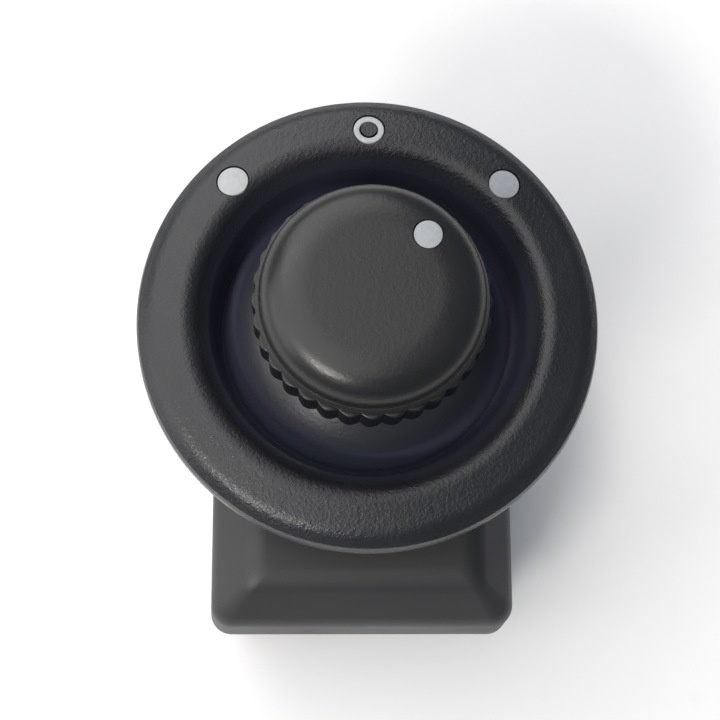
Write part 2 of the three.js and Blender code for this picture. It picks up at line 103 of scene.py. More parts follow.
HEAD_RADIUS = 2.1
HEAD_HEIGHT = 1.2

RIM_RADIUS = BEZEL_HIGH[0]
RIM_Z = 30
SEAT_Z = 29.7
SLEEVE_LOW = BEZEL_LOW[2]
SLEEVE_BORE = 12.3
SLEEVE_RADIUS = 13.9
CLIP_COUNT = 4
CLIP_LOW, CLIP_HIGH = 25, 26.2
CLIP_REACH = 13.4
CLIP_WIDTH = 4.6
MOUND_RADIUS = 16
MOUND_CENTRE = (0, 18.3)
MOUND_EDGE = 9.8
MOUND_SHOULDER = 6.5
MOUND_WALL = 1.2
MOAT_FOOT = (12.2, 27.35)
MOUND_HOLE = 5.2
MARK_CIRCLE = 15.85
MARK_RADIUS = 1.27
MARK_GAP = 0.1
MARK_POST = 0.66
RING_HOLE = 0.78
FLANGE_SLOPE = 10
FLANGE_HEIGHT = 33.07

KNOB_TOP = CAP_HIGH[2]
KNOB_RADIUS = CAP_HIGH[0]
LIP_Z = CAP_LOW[2]
GRIP_RADIUS = GRIP_HIGH[0]
GRIP_DEPTH = 0.36
GRIP_LOBES = 32
KNOB_MARK_CIRCLE = 5.75
KNOB_MARK_RADIUS = 1.1
KNOB_POINTS = 45
STEM_SOCKET = 3.1
HUB_RADIUS = 4.4
CAP_ROOF = 40.4
GRIP_HOLLOW = 8.1


# ---- Mesh helpers ----
def rounded(corners, steps=5, closed=True):
    """The points of an outline whose corners are (x, y, radius), each rounded with an arc."""
    points = []
    count = len(corners)
    for i, (x, y, radius) in enumerate(corners):
        at = Vector((x, y))
        ends = not closed and i in (0, count - 1)
        if radius == 0 or ends:
            points.append((x, y))
            continue
        before = Vector(corners[i - 1][:2])
        after = Vector(corners[(i + 1) % count][:2])
        back, ahead = (before - at).normalized(), (after - at).normalized()
        half = back.angle(ahead) / 2
        reach = min(radius / math.tan(half), (before - at).length * 0.49, (after - at).length * 0.49)
        middle = at + (back + ahead).normalized() * (reach / math.cos(half))
        start, end = at + back * reach - middle, at + ahead * reach - middle
        sweep = start.angle_signed(end)
        for step in range(steps + 1):
            turned = start.copy()
            turned.rotate(Matrix.Rotation(-sweep * step / steps, 2))
            points.append(tuple(middle + turned))
    return points


def finish_mesh(name, bm):
    """A new object from a bmesh made in millimetres, outward facing."""
    bmesh.ops.remove_doubles(bm, verts=bm.verts, dist=1e-5)
    bmesh.ops.recalc_face_normals(bm, faces=bm.faces)
    mesh = bpy.data.meshes.new(name)
    bm.to_mesh(mesh)
    bm.free()
    mesh.transform(Matrix.Scale(MM, 4))
    obj = bpy.data.objects.new(name, mesh)
    bpy.context.scene.collection.objects.link(obj)
    return obj


def lathe(name, outline, segments=192):
    """A closed outline of (radius, height) points turned about Z."""
    bm = bmesh.new()
    columns = []
    for turn in range(segments):
        angle = 2 * math.pi * turn / segments
        cos, sin = math.cos(angle), math.sin(angle)
        columns.append([bm.verts.new((r * cos, r * sin, z)) for r, z in outline])
    for turn in range(segments):
        here, there = columns[turn], columns[(turn + 1) % segments]
        for i in range(len(outline)):
            j = (i + 1) % len(outline)
            if outline[i][0] == 0 and outline[j][0] == 0:
                continue
            bm.faces.new((here[i], there[i], there[j], here[j]))
    return finish_mesh(name, bm)


def loft(name, rings):
    """A closed solid through rings of the same number of (x, y, z) points."""
    bm = bmesh.new()
    rows = [[bm.verts.new(point) for point in ring] for ring in rings]
    for low, high in zip(rows, rows[1:]):
        for i in range(len(low)):
            j = (i + 1) % len(low)
            bm.faces.new((low[i], low[j], high[j], high[i]))
    bm.faces.new(rows[0][::-1])
    bm.faces.new(rows[-1])
    return finish_mesh(name, bm)


def block(name, low, high):
    corners = [(low[0], low[1]), (high[0], low[1]), (high[0], high[1]), (low[0], high[1])]
    return loft(name, [[(x, y, z) for x, y in corners] for z in (low[2], high[2])])


def apply_modifiers(obj):
    graph = bpy.context.evaluated_depsgraph_get()
    mesh = bpy.data.meshes.new_from_object(obj.evaluated_get(graph))
    obj.modifiers.clear()
    obj.data = mesh


def combine(obj, tools, operation):
    """Joins the tools to the object, or cuts them from it, and removes them."""
    for tool in tools:
        boolean = obj.modifiers.new("combine", "BOOLEAN")
        boolean.operation = operation
        boolean.solver = "EXACT"
        boolean.object = tool
        apply_modifiers(obj)
        bpy.data.objects.remove(tool)


def smooth(obj, angle=32):
    """Smooth shading that keeps true edges and flat faces."""
    mesh = obj.data
    mesh.shade_smooth()
    mesh.set_sharp_from_angle(angle=math.radians(angle))
    weighted = obj.modifiers.new("weighted", "WEIGHTED_NORMAL")
    weighted.keep_sharp = True
    weighted.weight = 80
    apply_modifiers(obj)


def turn(obj, matrix):
    """Moves a piece's mesh by a matrix in millimetres."""
    scaled = matrix.copy()
    scaled.translation = matrix.translation * MM
    obj.data.transform(scaled)
    return obj


def on_flange(obj, position):
    """Places a piece made at the origin on the flange's slope: -1 left, 0 off, 1 right."""
    angle = math.radians(90 - position * 45)
    slope = Matrix.Rotation(math.radians(FLANGE_SLOPE), 4, "Y")
    place = Matrix.Translation((MARK_CIRCLE, 0, FLANGE_HEIGHT))
    return turn(obj, Matrix.Rotation(angle, 4, "Z") @ place @ slope)


def arc(centre, radius, start, end, steps):
    """Points of an arc about centre, from one angle to another, in degrees."""
    angles = [math.radians(start + (end - start) * i / steps) for i in range(steps + 1)]
    return [(centre[0] + radius * math.cos(a), centre[1] + radius * math.sin(a)) for a in angles]


# ---- Node material helpers ----
class Nodes:
    """Short ways to add and link shader nodes."""

    def __init__(self, name):
        self.material = bpy.data.materials.new(name)
        self.material.use_nodes = True
        self.tree = self.material.node_tree
        self.shader = self.tree.nodes["Principled BSDF"]
        coordinates = self.tree.nodes.new("ShaderNodeTexCoord")
        self.place = coordinates.outputs["Object"]

    def add(self, kind, inputs=None, **settings):
        node = self.tree.nodes.new(kind)
        for key, value in settings.items():
            setattr(node, key, value)
        for key, value in (inputs or {}).items():
            if isinstance(value, bpy.types.NodeSocket):
                self.tree.links.new(value, node.inputs[key])
            else:
                node.inputs[key].default_value = value
        return node

    def math(self, operation, first, second=0.0):
        return self.add("ShaderNodeMath", {0: first, 1: second}, operation=operation).outputs[0]

    def noise(self, size, detail=3.0, roughness=0.55):
        """Noise whose features are about size millimetres across."""
        inputs = {"Vector": self.place, "Scale": 1 / (size * MM), "Detail": detail, "Roughness": roughness}
        return self.add("ShaderNodeTexNoise", inputs).outputs["Fac"]

    def cells(self, size, feature="F1", warp=0.35):
        """Voronoi distances in cells of about size millimetres, with wandering outlines."""
        slow = {"Vector": self.place, "Scale": 0.7 / (size * MM), "Detail": 2.0}
        sway = self.add("ShaderNodeTexNoise", slow)
        centred = self.add("ShaderNodeVectorMath", {0: sway.outputs["Color"], 1: (0.5, 0.5, 0.5)},
                           operation="SUBTRACT").outputs[0]
        moved = self.add("ShaderNodeVectorMath", {0: centred, "Scale": warp * size * MM * 2},
                         operation="SCALE").outputs[0]
        place = self.add("ShaderNodeVectorMath", {0: self.place, 1: moved}, operation="ADD").outputs[0]
        inputs = {"Vector": place, "Scale": 1 / (size * MM)}
        return self.add("ShaderNodeTexVoronoi", inputs, feature=feature).outputs["Distance"]

    def span(self, value, low, high, new_low, new_high):
        """Maps low..high to new_low..new_high, held at the ends."""
        inputs = {0: value, 1: low, 2: high, 3: new_low, 4: new_high}
        return self.add("ShaderNodeMapRange", inputs).outputs[0]

    def blend(self, factor, first, second):
        node = self.add("ShaderNodeMix", data_type="RGBA")
        for socket, value in zip((0, 6, 7), (factor, first, second)):
            if isinstance(value, bpy.types.NodeSocket):
                self.tree.links.new(value, node.inputs[socket])
            else:
                node.inputs[socket].default_value = (*value, 1) if socket else value
        return node.outputs[2]

    def bump(self, height, depth, strength=1.0, under=None):
        """A bump whose full height is depth millimetres, on top of another bump."""
        inputs = {"Height": height, "Distance": depth * MM, "Strength": strength}
        if under is not None:
            inputs["Normal"] = under
        return self.add("ShaderNodeBump", inputs).outputs["Normal"]

    def shade(self, **sockets):
        for key, value in sockets.items():
            socket = self.shader.inputs[key.replace("_", " ")]
            if isinstance(value, bpy.types.NodeSocket):
                self.tree.links.new(value, socket)
            else:
                socket.default_value = value
        return self.material


def dusted(nodes, colour, spacing, dust=(0.30, 0.29, 0.28)):
    """Adds a few pale dust specks to a colour, about spacing millimetres apart."""
    speck = nodes.cells(spacing, warp=0.2)
    mask = nodes.span(speck, 0.012, 0.02, 0.8, 0.0)
    return nodes.blend(mask, colour, dust)


def leather(n, cell):
    """The height of a leather grain: small uneven pillows with creases that wander."""
    pillows = n.span(n.cells(cell, "F1", 0.9), 0.0, 0.75, 1.0, 0.0)
    small = n.span(n.cells(cell * 0.5, "F1", 0.8), 0.0, 0.75, 1.0, 0.0)
    creases = n.span(n.noise(cell * 1.6, 3.0, 0.6), 0.35, 0.65, 0.0, 1.0)
    height = n.math("ADD", n.math("MULTIPLY", pillows, 0.45), n.math("MULTIPLY", small, 0.25))
    return n.math("ADD", height, n.math("MULTIPLY", creases, 0.4))


def bezel_plastic(cell, depth, roughness):
    """Grained on the flange, smoother and blue-black in the dish. The dish turns lighter and bluer towards
    the moat and is lightest in the moat itself: painted light that lifts the shaded recess.
    """
    n = Nodes("bezel plastic")
    flat = n.add("ShaderNodeVectorMath", {0: n.place, 1: (1, 1, 0)}, operation="MULTIPLY").outputs[0]
    away = n.add("ShaderNodeVectorMath", {0: flat}, operation="LENGTH").outputs["Value"]
    flange = n.span(away, 12.9 * MM, 13.9 * MM, 0.0, 1.0)
    height = leather(n, cell)
    patches = n.noise(7, 3.0)
    outer = n.blend(n.span(patches, 0.4, 0.7, 0.0, 1.0), (0.010, 0.010, 0.012), (0.014, 0.014, 0.016))
    # Painted light: the dish turns lighter and bluer away from the knob, lifting its shade.
    down = n.span(away, 9.8 * MM, 11.0 * MM, 0.0, 1.0)
    # Painted light: a lighter band in the moat, where it lies deepest in shade.
    floor = n.math("MULTIPLY", n.span(away, 10.8 * MM, 11.8 * MM, 0.0, 1.0),
                   n.span(away, 12.2 * MM, 12.6 * MM, 1.0, 0.0))
    dish = n.blend(down, (0.022, 0.022, 0.027), (0.026, 0.028, 0.044))
    dish = n.blend(floor, dish, (0.070, 0.075, 0.112))
    gloss = n.math("ADD", n.span(patches, 0.3, 0.7, roughness - 0.03, roughness + 0.03),
                   n.span(height, 0.3, 0.9, 0.05, -0.03))
    strength = n.span(flange, 0.0, 1.0, 0.3, 1.0)
    return n.shade(Base_Color=dusted(n, n.blend(flange, dish, outer), 5), Roughness=gloss,
                   Normal=n.bump(height, depth, strength), Specular_IOR_Level=0.5)


def knob_plastic(name, base, cell, depth, roughness):
    """Handled plastic: a shallow grain, with sheen that wanders."""
    n = Nodes(name)
    height = leather(n, cell)
    patches = n.noise(7, 3.0)
    colour = n.blend(n.span(patches, 0.4, 0.7, 0.0, 0.3), base, tuple(c * 1.35 for c in base))
    gloss = n.math("ADD", n.span(patches, 0.3, 0.7, roughness - 0.03, roughness + 0.03),
                   n.span(height, 0.3, 0.9, 0.05, -0.03))
    return n.shade(Base_Color=dusted(n, colour, 5), Roughness=gloss, Normal=n.bump(height, depth),
                   Specular_IOR_Level=0.5)


def satin_plastic(name, base, roughness):
    """Moulded plastic from a fine spark-eroded tool: a faint even stipple, slightly uneven sheen."""
    n = Nodes(name)
    stipple = n.noise(0.12, 2.0)
    waves = n.noise(5, 2.0)
    rubbed = n.noise(11, 4.0)
    colour = n.blend(n.span(rubbed, 0.35, 0.7, 0.0, 0.4), base, tuple(c * 1.3 for c in base))
    gloss = n.math("ADD", n.span(rubbed, 0.3, 0.7, roughness + 0.05, roughness - 0.05),
                   n.span(stipple, 0.3, 0.7, -0.03, 0.03))
    normal = n.bump(waves, 0.02, 0.6)
    normal = n.bump(stipple, 0.006, 0.6, normal)
    return n.shade(Base_Color=colour, Roughness=gloss, Normal=normal, Specular_IOR_Level=0.5)


def inlay_plastic(name, tone):
    """Light grey marks: flat, slightly uneven in tone and sheen."""
    n = Nodes(name)
    mottled = n.noise(0.5, 3.0)
    colour = n.blend(n.span(mottled, 0.35, 0.7, 0.0, 1.0), tuple(c * 0.85 for c in tone), tone)
    normal = n.bump(n.noise(0.15, 2.0), 0.004, 0.6)
    return n.shade(Base_Color=colour, Roughness=n.span(mottled, 0.3, 0.7, 0.42, 0.55), Normal=normal)


def natural_plastic():
    """Natural acetal for the inner pieces, with faint flow marks."""
    n = Nodes("natural plastic")
    flow = n.noise(3, 3.0)
    colour = n.blend(n.span(flow, 0.35, 0.7, 0.0, 1.0), (0.62, 0.60, 0.53), (0.72, 0.70, 0.64))
    return n.shade(Base_Color=colour, Roughness=n.span(flow, 0.3, 0.7, 0.38, 0.5),
                   Normal=n.bump(n.noise(0.3, 2.0), 0.006, 0.5), Subsurface_Weight=0.08,
                   Subsurface_Scale=0.001)


def plated_metal(name, base, roughness):
    """Plated metal with fine drawn lines and dull patches."""
    n = Nodes(name)
    stretch = n.add("ShaderNodeMapping", {"Vector": n.place, "Scale": (1.0, 9.0, 9.0)}).outputs[0]
    lines = n.add("ShaderNodeTexNoise", {"Vector": stretch, "Scale": 1200.0, "Detail": 2.0}).outputs["Fac"]
    dull = n.noise(1.5, 3.0)
    colour = n.blend(n.span(dull, 0.35, 0.7, 0.0, 1.0), base, tuple(c * 0.8 for c in base))
    return n.shade(Base_Color=colour, Metallic=1.0,
                   Roughness=n.span(dull, 0.3, 0.7, roughness, roughness + 0.14),
                   Normal=n.bump(lines, 0.003, 0.5))


def silicone():
    n = Nodes("silicone")
    bloom = n.noise(2, 3.0)
    colour = n.blend(n.span(bloom, 0.35, 0.7, 0.0, 1.0), (0.09, 0.09, 0.095), (0.13, 0.13, 0.135))
    return n.shade(Base_Color=colour, Roughness=n.span(bloom, 0.3, 0.7, 0.6, 0.75),
                   Normal=n.bump(n.noise(0.2, 2.0), 0.008, 0.6))


def solder_mask():
    """Green lacquer over the glass weave."""
    n = Nodes("solder mask")
    fine = {"Vector": n.place, "Scale": 500.0, "Distortion": 0.6}
    weave = n.add("ShaderNodeTexWave", fine).outputs["Fac"]
    tone = n.noise(6, 2.0)
    colour = n.blend(n.span(tone, 0.35, 0.7, 0.0, 1.0), (0.012, 0.085, 0.035), (0.02, 0.12, 0.05))
    return n.shade(Base_Color=colour, Roughness=n.span(tone, 0.3, 0.7, 0.25, 0.35),
                   Normal=n.bump(weave, 0.004, 0.4))


MATERIALS = {
    "housing_plastic": satin_plastic("housing plastic", (0.021, 0.0205, 0.021), 0.5),
    "bezel_plastic": bezel_plastic(0.26, 0.032, 0.31),
    "knob_plastic": knob_plastic("knob plastic", (0.010, 0.0095, 0.0095), 0.26, 0.008, 0.29),
    "mark_plastic": inlay_plastic("inlay plastic", (0.40, 0.405, 0.41)),
    "inner_plastic": natural_plastic(),
    "board": solder_mask(),
    "rubber": silicone(),
    "steel": plated_metal("zinc-plated steel", (0.56, 0.57, 0.58), 0.24),
    "contact_metal": plated_metal("gold-flashed contact", (0.78, 0.56, 0.26), 0.2),
}


# A darker copy of the inlay plastic for the right-hand mark and the knob's dot, which face away from the
# key light: painted shade.
SHADED_INLAY = inlay_plastic("shaded inlay plastic", (0.335, 0.345, 0.365))
# A darker copy of the knob plastic for the grip: painted shade for the skirt under the cap's lip.
SHADED_GRIP_PLASTIC = knob_plastic("shaded grip plastic", (0.005, 0.005, 0.006), 0.28, 0.008, 0.30)


def dress(obj, slot, body, *nodes, material=None):
    """Gives a piece its slot's material, or the one given, hangs it on its body and hides the nodes it
    stands for.
    """
    obj.data.materials.clear()
    obj.data.materials.append(material or MATERIALS[slot])
    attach(obj, body)
    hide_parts(*nodes)


# ---- Housing ----
def plan(half_x, south, north, radius, z, steps=8):
    """A rounded rectangle at height z, anticlockwise."""
    points = []
    centres = [(half_x - radius, north - radius), (radius - half_x, north - radius),
               (radius - half_x, south + radius), (half_x - radius, south + radius)]
    for quarter, (x, y) in enumerate(centres):
        for step in range(steps + 1):
            angle = math.pi / 2 * (quarter + step / steps)
            points.append((x + radius * math.cos(angle), y + radius * math.sin(angle), z))
    return points


def chamfered_rings(inset, low, high, corner, top_corner, soften):
    """Rings up the drafted walls, over the softened chamfer and on to the flat top."""
    knee = high - CHAMFER_DROP
    spread = DRAFT * (knee - low)
    side = rounded([(0.5 - spread, low, 0), (-spread, low, 0.25), (0, knee, soften),
                    (CHAMFER_RUN, high, soften), (CHAMFER_RUN + 3, high, 0)], steps=6, closed=False)
    rings = []
    for run, z in side:
        blend = min(max(run / CHAMFER_RUN, 0), 1)
        rings.append(inset_plan(inset + run, corner + (top_corner - corner) * blend, z))
    return rings


def inset_plan(inset, radius, z):
    """The housing's plan moved inward, at height z."""
    return plan(HALF_WIDTH - inset, SOUTH_END + inset, NORTH_END - inset, radius, z)


def clip_turn(i):
    """The turn that takes a clip on +X to its place round the neck."""
    return Matrix.Rotation(math.radians(45 + 360 / CLIP_COUNT * i), 4, "Z")


def clip_wedges():
    """Four wedges on the neck that the bezel's sleeve clips over."""
    wedges = []
    root = 11.4
    side = [(root, CLIP_LOW), (CLIP_REACH, CLIP_LOW), (CLIP_REACH, CLIP_LOW + 0.3),
            (NECK_RADIUS, CLIP_HIGH), (root, CLIP_HIGH)]
    for i in range(CLIP_COUNT):
        rings = [[(r, y, z) for r, z in side] for y in (-CLIP_WIDTH / 2, CLIP_WIDTH / 2)]
        wedges.append(turn(loft("wedge", rings), clip_turn(i)))
    return wedges


def make_housing():
    low = HOUSING_BOTTOM
    shell = loft("housing_shell", chamfered_rings(0, low, SHOULDER, CORNER, 0.9, 3.0))
    cavity = loft("cavity", chamfered_rings(WALL, low - 1, SHOULDER - WALL, 0.6, 0.3, 0.4))
    combine(shell, [cavity], "DIFFERENCE")
    neck = lathe("neck", rounded([(9, BEARING_LEDGE, 0), (NECK_RADIUS, BEARING_LEDGE, 0),
                                  (NECK_RADIUS, NECK_TOP, 0.3), (9, NECK_TOP, 0)], 3), 128)
    bosses = [lathe_at("boss", BOSS_RADIUS, low, BOSS_TOP, at) for at in SCREW_AT]
    posts = [lathe_at("post", DETENT_POST["radius"], DETENT_POST["low"], DETENT_POST["high"],
                      (side * DETENT_POST["x"], DETENT_POST["y"])) for side in (-1, 1)]
    combine(shell, [neck, *bosses, *posts, *clip_wedges()], "UNION")
    bore = lathe_at("bore", NECK_BORE, 10, NECK_TOP + 1, (0, 0), 128)
    pocket = lathe_at("pocket", POCKET_RADIUS, 13, BEARING_LEDGE, (0, 0), 96)
    holes = [lathe_at("hole", SCREW_HOLE, 0, SCREW_HOLE_TOP, at, 24) for at in SCREW_AT]
    combine(shell, [bore, pocket, stop_sweep(), *holes], "DIFFERENCE")
    smooth(shell)
    dress(shell, "housing_plastic", "base", "housing")


def lathe_at(name, radius, low, high, at, segments=32):
    """A plain round bar standing at a place, for joining or cutting."""
    bar = lathe(name, [(0, low), (radius, low), (radius, high), (0, high)], segments)
    return turn(bar, Matrix.Translation((*at, 0)))


def stop_sweep():
    """The room that the rotor's stop lug sweeps in the bearing tube."""
    outline = arc((0, 0), STOP_OUTER, STOP_START, STOP_END, 30)
    outline += arc((0, 0), STOP_INNER, STOP_START, STOP_END, 30)[::-1]
    return loft("sweep", [[(x, y, z) for x, y in outline] for z in (BEARING_LEDGE - 0.2, STOP_TOP)])


# ---- Lower cover and its screws ----
SOCKET_HALF, SOCKET_SOUTH, SOCKET_NORTH, SOCKET_DEPTH, SOCKET_WALL = 6.2, -21.4, -12, 9.2, 1.2
PIN_GAP_SIZE = 1.24


def make_cover():
    """The tub under the housing: softened outer edges, a lip, screw columns and the plug's socket."""
    edge = rounded([(0.5, 0, 0), (0, 0, 0.35), (0, COVER_TOP, 0.15), (0.5, COVER_TOP, 0)], 4, closed=False)
    cover = loft("lower_cover_tub", [inset_plan(COVER_INSET + d, CORNER - d, z) for d, z in edge])
    lip = loft("lip", [inset_plan(LIP_INSET, 0.8, z) for z in (1, LIP_TOP)])
    combine(cover, [lip], "UNION")
    hollow = loft("hollow", [inset_plan(COVER_INSET + COVER_WALL, 0.8, z)
                             for z in (COVER_FLOOR, LIP_BOTTOM)])
    throat = loft("throat", [inset_plan(LIP_INSET + LIP_WALL, 0.8, z)
                             for z in (LIP_BOTTOM - 1, LIP_TOP + 1)])
    reliefs = [lathe_at("relief", 2.6, COVER_TOP, LIP_TOP + 1, at) for at in SCREW_AT]
    combine(cover, [hollow, throat, *reliefs], "DIFFERENCE")
    well = block("well", (-SOCKET_HALF - SOCKET_WALL, SOCKET_SOUTH - SOCKET_WALL, 1),
                 (SOCKET_HALF + SOCKET_WALL, SOCKET_NORTH + SOCKET_WALL, SOCKET_DEPTH + SOCKET_WALL))
    columns = [lathe_at("column", COLUMN_RADIUS, 1, COVER_TOP, at) for at in SCREW_AT]
    posts = [lathe_at("post", 1.5, 1, LIP_TOP, at, 24) for at in BOARD_POSTS]
    combine(cover, [well, *columns, *posts], "UNION")
    mouth = block("mouth", (-SOCKET_HALF, SOCKET_SOUTH, -1), (SOCKET_HALF, SOCKET_NORTH, SOCKET_DEPTH))
    holes = []
    for i in range(1, 9):
        low, high = node_box(f"connector_pin_{i}")
        x, y = (low[0] + high[0]) / 2, (low[1] + high[1]) / 2
        half = PIN_GAP_SIZE / 2
        holes.append(block("pin_hole", (x - half, y - half, 8), (x + half, y + half, 12)))
    for at in SCREW_AT:
        holes.append(lathe_at("hole", SCREW_HOLE, -1, COVER_TOP + 1, at, 32))
        holes.append(lathe_at("head_hole", HEAD_HOLE, -1, HEAD_HEIGHT + 0.3, at, 48))
    combine(cover, [mouth, *holes], "DIFFERENCE")
    smooth(cover)
    dress(cover, "housing_plastic", "base", "lower_cover")


def make_screw(number, at):
    """A pan-head screw with a cross recess and a threaded shank."""
    head = rounded([(0, 0.2, 0), (1.3, 0.2, 0.8), (HEAD_RADIUS, 0.55, 0.5), (HEAD_RADIUS, HEAD_HEIGHT, 0.1),
                    (0.8, HEAD_HEIGHT, 0)], 4, closed=False)
    thread = []
    turns, pitch = 15, 0.8
    for i in range(turns):
        z = HEAD_HEIGHT + 0.3 + i * pitch
        thread += [(0.8, z), (0.98, z + 0.25), (0.98, z + 0.33), (0.8, z + 0.58)]
    outline = head + thread + [(0.5, 13.6), (0, 13.98)]
    screw = lathe(f"cover_screw_{number}_detail", outline, 40)
    arm, slot = 1.15, 0.25
    combine(screw, [block("slot", (-arm, -slot, -1), (arm, slot, 0.8)),
                    block("slot", (-slot, -arm, -1), (slot, arm, 0.8))], "DIFFERENCE")
    turn(screw, Matrix.Translation((*at, 0)) @ Matrix.Rotation(math.radians(20 + 37 * number), 4, "Z"))
    smooth(screw)
    dress(screw, "steel", "base", f"cover_screw_{number}")


# ---- Bezel and marks ----
def make_bezel():
    def lean(reach, size):
        return math.degrees(math.acos(reach / size))

    turned = lean(MOUND_EDGE, MOUND_RADIUS)
    inner = MOUND_RADIUS - MOUND_WALL
    reach = MOUND_RADIUS - MOUND_SHOULDER
    shoulder = (reach * math.cos(math.radians(turned)),
                MOUND_CENTRE[1] + reach * math.sin(math.radians(turned)))
    dome = arc(MOUND_CENTRE, MOUND_RADIUS, lean(MOUND_HOLE, MOUND_RADIUS), turned, 14)
    dome += arc(shoulder, MOUND_SHOULDER, turned, 15, 14)[1:]
    lining = arc(MOUND_CENTRE, inner, lean(10.8, inner), lean(MOUND_HOLE, inner), 8)
    side = [(*dome[-1], 0), (*MOAT_FOOT, 0), (13.05, 32.0, 2.0), (14.5, 33.36, 1.8), (17.8, 32.73, 2.2),
            (18.74, 31.85, 0.25), (18.92, 31.3, 0.3), (RIM_RADIUS, RIM_Z + 0.3, 0.3),
            (RIM_RADIUS - 0.2, SEAT_Z, 0.12),
            (17.3, SEAT_Z, 0.2), (17, 31.2, 0.3), (14.2, 31.2, 0.2), (SLEEVE_RADIUS, 30.9, 0.1),
            (SLEEVE_RADIUS, SLEEVE_LOW, 0.2), (SLEEVE_BORE, SLEEVE_LOW, 0.2),
            (SLEEVE_BORE, NECK_TOP + 0.3, 0.1),
            (11, NECK_TOP + 0.3, 0.1), (*lining[0], 0)]
    outline = dome[:-1] + rounded(side, 6, closed=False) + lining[1:]
    ring = lathe("bezel_ring", outline, 256)
    tools = []
    for i in range(CLIP_COUNT):
        window = block("window", (11.9, -2.6, CLIP_LOW - 0.4), (14.5, 2.6, CLIP_HIGH + 0.4))
        tools.append(turn(window, clip_turn(i)))
    for position in (-1, 0, 1):
        outer = MARK_RADIUS + MARK_GAP
        post = MARK_POST if position == 0 else 0
        pocket = lathe("pocket", [(post, -0.8), (outer, -0.8), (outer, 2), (post, 2)], 64)
        tools.append(on_flange(pocket, position))
    combine(ring, tools, "DIFFERENCE")
    smooth(ring)
    dress(ring, "bezel_plastic", "base", "bezel")


def make_mark(node, position):
    """A flat inlay disc, or a ring for the off position, with a small rounded edge."""
    hole = RING_HOLE if position == 0 else 0
    edge = 0.06
    outline = rounded([(hole, -0.6, 0), (MARK_RADIUS, -0.6, 0), (MARK_RADIUS, -0.05, edge),
                       (hole, -0.05, edge if hole else 0)], 3)
    disc = on_flange(lathe(f"{node}_inlay", outline, 64), position)
    smooth(disc)
    # The right-hand mark takes the darker inlay copy: painted shade.
    dress(disc, "mark_plastic", "base", node, material=SHADED_INLAY if position == 1 else None)


# ---- Knob ----
def on_knob(obj):
    angle = math.radians(KNOB_POINTS)
    return turn(obj, Matrix.Rotation(angle, 4, "Z") @ Matrix.Translation((KNOB_MARK_CIRCLE, 0, 0)))


def make_knob_cap():
    """The cap: a flat top, a wide curve and then a tighter one down to a steep side with a small lip."""
    flat, wide, tight = 4.9, 7, 2.67  # radius of the flat top, then of each curve
    meet, steep = 74, 6  # degrees above the horizontal where the curves meet and where the side starts
    offset = wide - tight
    lean = math.radians(meet)
    centre = (flat + offset * math.cos(lean), KNOB_TOP - wide + offset * math.sin(lean))
    crown = arc((flat, KNOB_TOP - wide), wide, 90, meet, 8) + arc(centre, tight, meet, steep, 18)[1:]
    side = rounded([crown[-1] + (0,), (KNOB_RADIUS - 0.3, LIP_Z + 0.75, 0.4),
                    (KNOB_RADIUS, LIP_Z + 0.4, 0.1), (KNOB_RADIUS, LIP_Z + 0.2, 0.1),
                    (KNOB_RADIUS - 0.3, LIP_Z, 0.1), (7.9, LIP_Z, 0.1),
                    (7.3, LIP_Z + 0.6, 0.2), (7.0, CAP_ROOF - 0.5, 0.4), (6.2, CAP_ROOF, 0.2),
                    (HUB_RADIUS, CAP_ROOF, 0.2), (HUB_RADIUS, LIP_Z, 0.1), (STEM_SOCKET, LIP_Z, 0.1),
                    (STEM_SOCKET, CAP_ROOF, 0.1), (0, CAP_ROOF, 0)], 6, closed=False)
    outline = [(0, KNOB_TOP), (3, KNOB_TOP), *crown[:-1], *side]
    cap = lathe("knob_cap_shell", outline, 256)
    outer = KNOB_MARK_RADIUS + MARK_GAP
    pocket = lathe("pocket", [(0, KNOB_TOP - 0.7), (outer, KNOB_TOP - 0.7), (outer, KNOB_TOP + 1),
                              (0, KNOB_TOP + 1)], 64)
    combine(cap, [on_knob(pocket)], "DIFFERENCE")
    smooth(cap)
    dress(cap, "knob_plastic", "joystick", "knob_cap")


def make_knob_mark():
    outline = rounded([(0, KNOB_TOP - 0.5, 0), (KNOB_MARK_RADIUS, KNOB_TOP - 0.5, 0),
                       (KNOB_MARK_RADIUS, KNOB_TOP - 0.1, 0.06), (0, KNOB_TOP - 0.1, 0)], 3)
    disc = on_knob(lathe("knob_mark_inlay", outline, 64))
    smooth(disc)
    # The knob's dot takes the darker inlay copy: painted shade.
    dress(disc, "mark_plastic", "joystick", "knob_mark", material=SHADED_INLAY)


def make_grip():
    """The scalloped skirt: rounded lobes that meet in narrow valleys, with a softened lower edge."""
    per_lobe = 12
    count = GRIP_LOBES * per_lobe
    edge = rounded([(0.9, GRIP_LOW[2], 0), (0, GRIP_LOW[2], 0.15), (0, GRIP_HIGH[2], 0.15),
                    (0.9, GRIP_HIGH[2], 0)], 4, closed=False)
    rings = []
    for inset, z in edge:
        ring = []
        for i in range(count):
            angle = 2 * math.pi * i / count
            lobe = (0.5 + 0.5 * math.cos(angle * GRIP_LOBES)) ** 0.5
            radius = GRIP_RADIUS - GRIP_DEPTH * (1 - lobe) - inset
            ring.append((radius * math.cos(angle), radius * math.sin(angle), z))
        rings.append(ring)
    grip = loft("grip_ring_scalloped", rings)
    hollow = lathe("hollow", [(0, 33), (GRIP_HOLLOW, 33), (GRIP_HOLLOW, 35.9), (4.6, 35.9),
                              (4.6, 35.6), (0, 35.6)], 96)
    combine(grip, [hollow, lathe_at("bore", STEM_SOCKET, 30, 40, (0, 0), 64)], "DIFFERENCE")
    smooth(grip, 40)
    # The skirt takes the darker copy of the knob plastic: painted shade.
    dress(grip, "knob_plastic", "joystick", "grip_ring", material=SHADED_GRIP_PLASTIC)


